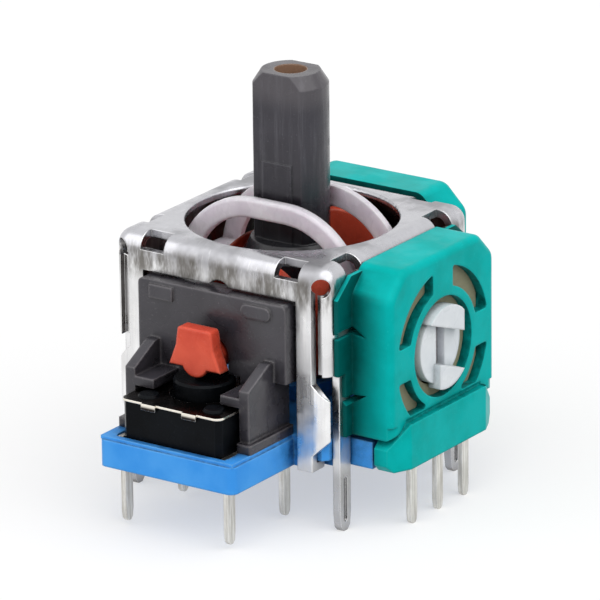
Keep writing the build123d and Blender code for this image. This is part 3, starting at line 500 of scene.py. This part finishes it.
# In the moulded finishes below, the hollow colour is painted shade in corners, and the light
# colour also gives edges a painted highlight.
finishes = {
    "shell_steel": shell_steel(),
    "blue_plastic": moulded(
        "blue_plastic", body=paint(82, 172, 253), shade=paint(64, 158, 246),
        light=paint(144, 208, 254), hollow_shade=paint(2, 22, 66), edge_round=0.14, grain=4.5,
        relief=0.008, rough=(0.34, 0.5), edge_highlight_and_wear=0.5, reach=2.6, Specular_IOR_Level=0.12,
    ),
    "bracket_plastic": moulded(
        "bracket_plastic", body=paint(66, 64, 70), shade=paint(54, 52, 58),
        light=paint(140, 135, 139), hollow_shade=paint(12, 11, 14), edge_round=0.2, grain=4.0,
        relief=0.014, rough=(0.22, 0.42), edge_highlight_and_wear=0.55, reach=1.4, Specular_IOR_Level=0.5,
    ),
    "stick_plastic": stick_plastic(),
    "switch_black": moulded(
        "switch_black", body=paint(16, 19, 23), shade=paint(10, 12, 15),
        light=paint(58, 62, 68), hollow_shade=paint(0, 0, 0), edge_round=0.07, grain=5.0,
        relief=0.006, rough=(0.26, 0.42), edge_highlight_and_wear=0.6, reach=1.6, Specular_IOR_Level=0.06,
    ),
    "orange_plastic": moulded(
        "orange_plastic", body=paint(236, 96, 70), shade=paint(214, 72, 50),
        light=paint(254, 160, 136), hollow_shade=paint(84, 12, 2), edge_round=0.22, grain=4.5,
        relief=0.006, rough=(0.22, 0.38), edge_highlight_and_wear=0.6, reach=2.8, Specular_IOR_Level=0.25,
    ),
    "green_plastic": green_housing(),
    "hub_white": moulded(
        "hub_white", body=paint(242, 247, 250), shade=paint(230, 236, 241),
        light=paint(253, 253, 253), hollow_shade=paint(150, 160, 164), edge_round=0.15, grain=4.0,
        relief=0.004, rough=(0.24, 0.36), edge_highlight_and_wear=0.4, reach=0.6, Specular_IOR_Level=0.4,
    ),
    "milky_plastic": milky_arch(),
    "laminate_board": laminate_board(),
    "cover_steel": cover_steel(),
    "spring_steel": bright_metal(
        "spring_steel", pale=paint(205, 203, 198), dull=paint(160, 157, 150), lines=6.0,
        rough=(0.2, 0.32),
    ),
    "pin_tin": bright_metal(
        "pin_tin", pale=paint(230, 229, 224), dull=paint(184, 181, 174), lines=6.0,
        rough=(0.28, 0.44),
    ),
}

finish_of_piece = {
    "shell": "shell_steel",
    "base_plate": "blue_plastic",
    "switch_bracket": "bracket_plastic",
    "switch_body": "switch_black",
    "switch_plunger": "switch_black",
    "switch_cover": "cover_steel",
    "switch_dome": "spring_steel",
    "switch_terminal_left": "pin_tin",
    "switch_terminal_right": "pin_tin",
    "upper_yoke": "milky_plastic",
    "spring_seat": "milky_plastic",
    "lower_rocker": "orange_plastic",
    "stick": "stick_plastic",
    "return_spring": "spring_steel",
}
for side in ("right", "rear"):
    finish_of_piece[side + "_sensor_housing"] = "green_plastic"
    finish_of_piece[side + "_sensor_board"] = "laminate_board"
    finish_of_piece[side + "_rotor"] = "hub_white"
    finish_of_piece[side + "_wiper"] = "spring_steel"
    for number in (1, 2, 3):
        finish_of_piece[f"{side}_sensor_pin_{number}"] = "pin_tin"

for piece, finish_name in finish_of_piece.items():
    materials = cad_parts[piece].data.materials
    materials.clear()
    materials.append(finishes[finish_name].material)


# Sprung pieces, which flatten under a press in the real part: built here as meshes of their own in
# place of the rigid CAD ones
def add_piece(name, shape, finish_name):
    """A smooth mesh piece from points in millimetres and faces."""
    points, faces = shape
    mesh = bpy.data.meshes.new(name)
    mesh.from_pydata([[size * MM for size in point] for point in points], [], faces)
    mesh.shade_smooth()
    mesh.materials.append(finishes[finish_name].material)
    piece = bpy.data.objects.new(name, mesh)
    scene.collection.objects.link(piece)
    return piece


def coiled_wire(low, high, radius, wire, turns, steps=140, sides=10):
    """Round wire wound about the stick's axis, closed at both ends."""
    points, faces = [], []
    climb = (high - low) / (turns * 2 * math.pi)
    for step in range(steps + 1):
        angle = turns * 2 * math.pi * step / steps
        outward = Vector((math.cos(angle), math.sin(angle), 0))
        along = Vector((-radius * math.sin(angle), radius * math.cos(angle), climb)).normalized()
        across = along.cross(outward)
        centre = outward * radius + Vector((0, 0, low + climb * angle))
        for side in range(sides):
            turn = 2 * math.pi * side / sides
            points.append(centre + (outward * math.cos(turn) + across * math.sin(turn)) * wire)
    for step in range(steps):
        for side in range(sides):
            first = step * sides + side
            second = step * sides + (side + 1) % sides
            faces.append((first, second, second + sides, first + sides))
    faces.append(tuple(range(sides - 1, -1, -1)))
    faces.append(tuple(range(steps * sides, (steps + 1) * sides)))
    return points, faces


def sprung_cap(centre_y, floor, radius, rise, sheet, rings=10, segments=48):
    """A shallow round cap of thin sheet that stands on its rim."""
    ball = (radius**2 + rise**2) / (2 * rise)

    def arc(reach, drop):
        steps = [reach * ring / rings for ring in range(rings + 1)]
        return [(r, floor + rise - drop - ball + math.sqrt(ball**2 - r**2)) for r in steps]

    outline = arc(radius, 0.0) + arc(radius - 2 * sheet, sheet)[::-1]
    points = [(0, centre_y, outline[0][1]), (0, centre_y, outline[-1][1])]
    for reach, height in outline[1:-1]:
        for segment in range(segments):
            turn = 2 * math.pi * segment / segments
            points.append((reach * math.cos(turn), centre_y + reach * math.sin(turn), height))
    faces = []
    last = 2 + (len(outline) - 3) * segments
    for segment in range(segments):
        beside = (segment + 1) % segments
        faces.append((0, 2 + segment, 2 + beside))
        faces.append((last + segment, 1, last + beside))
        for row in range(2, last, segments):
            below = row + segments
            faces.append((row + segment, below + segment, below + beside, row + beside))
    return points, faces


def add_sprung_pieces():
    floor, seat_bottom, wire, seat_travel = 0.6, 2.2, 0.15, 0.19
    coil = coiled_wire(floor + wire, seat_bottom - wire, radius=1.45, wire=wire, turns=3.5)
    spring = add_piece("coil_spring", coil, "spring_steel")
    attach(spring, "housing")
    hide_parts("return_spring")
    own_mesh(spring)
    cap_y, cap_floor = -8.35, 2.0
    cap = sprung_cap(cap_y, cap_floor, radius=1.6, rise=0.45, sheet=0.15)
    dome = add_piece("snap_dome", cap, "spring_steel")
    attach(dome, "housing")
    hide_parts("switch_dome")
    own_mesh(dome)


add_sprung_pieces()


# Studio
def seen_share(tree):
    """1 where the camera looks, straight or in a reflection, and 0 for light on the part."""
    path = add_node(tree, "ShaderNodeLightPath").outputs
    mirrored = arithmetic(tree, "ADD", path["Is Glossy Ray"], path["Is Transmission Ray"])
    return arithmetic(tree, "ADD", path["Is Camera Ray"], mirrored, clamp=True)


def make_floor():
    """Pale grey paper, lifted to white for the camera and in reflections."""
    span = 3.0
    mesh = bpy.data.meshes.new("floor")
    level = cad_low[2]
    corners = [(x * span, y * span, level) for x, y in ((-1, -1), (1, -1), (1, 1), (-1, 1))]
    mesh.from_pydata(corners, [], [(0, 1, 2, 3)])
    floor = bpy.data.objects.new("floor", mesh)
    scene.collection.objects.link(floor)
    grey = (0.5, 0.5, 0.5, 1)
    white = (1, 1, 1, 1)
    finish = Finish(
        "floor_paper", Specular_IOR_Level=0.0, Roughness=1.0, Base_Color=grey, Emission_Color=white
    )
    lift = finish.scaled(seen_share(finish.tree), 0.5)
    feed(finish.tree, lift, finish.shader.inputs["Emission Strength"])
    mesh.materials.append(finish.material)


def make_world():
    """Soft grey light, seen as plain white."""
    world = bpy.data.worlds.new("studio")
    world.use_nodes = True
    tree = world.node_tree
    tree.nodes.clear()
    mixed = add_node(tree, "ShaderNodeMixShader")
    tree.links.new(seen_share(tree), mixed.inputs[0])
    light_on_part, seen_white = 0.4, 1.0
    for place, strength in ((1, light_on_part), (2, seen_white)):
        background = add_node(tree, "ShaderNodeBackground")
        background.inputs["Color"].default_value = (1, 1, 1, 1)
        background.inputs["Strength"].default_value = strength
        tree.links.new(background.outputs[0], mixed.inputs[place])
    end = add_node(tree, "ShaderNodeOutputWorld")
    tree.links.new(mixed.outputs[0], end.inputs["Surface"])
    scene.world = world


def add_lamp(name, towards, level, spread_deg):
    """A far soft lamp. level is the light on a face that looks straight at it."""
    data = bpy.data.lights.new(name, "SUN")
    data.energy = level * math.pi
    data.angle = math.radians(spread_deg)
    lamp = bpy.data.objects.new(name, data)
    lamp.rotation_euler = Vector(towards).to_track_quat("Z", "Y").to_euler()
    scene.collection.objects.link(lamp)


def make_camera():
    """Camera at the photograph's viewing angle."""
    turn = math.radians(34.604)
    rise = math.radians(19.148)
    tilt = math.radians(0.665)
    distance = 347.032 * MM
    focal_px = 6471.342
    centre_px = (293.377, 309.505)
    photo_px = 600
    target = Vector((0, 0, 6.0 * MM))
    level = math.cos(rise)
    back = Vector((math.sin(turn) * level, -math.cos(turn) * level, math.sin(rise)))
    right = Vector((math.cos(turn), math.sin(turn), 0))
    up = back.cross(right)
    camera_right = right * math.cos(tilt) - up * math.sin(tilt)
    camera_up = right * math.sin(tilt) + up * math.cos(tilt)
    data = bpy.data.cameras.new("camera")
    data.sensor_width = 36.0
    data.lens = focal_px / photo_px * data.sensor_width
    data.shift_x = (photo_px / 2 - centre_px[0]) / photo_px
    data.shift_y = (centre_px[1] - photo_px / 2) / photo_px
    data.clip_start = 1 * MM
    data.clip_end = 20.0
    camera = bpy.data.objects.new("camera", data)
    axes = Matrix((camera_right, camera_up, back)).transposed().to_4x4()
    camera.matrix_world = Matrix.Translation(target + back * distance) @ axes
    scene.collection.objects.link(camera)
    scene.camera = camera


make_floor()
make_world()
add_lamp("softbox_right", towards=(0.6, -0.1, 0.85), level=0.54, spread_deg=80)
add_lamp("softbox_front", towards=(-0.25, -0.75, 0.6), level=0.34, spread_deg=80)
make_camera()
scene.view_settings.view_transform = "Standard"
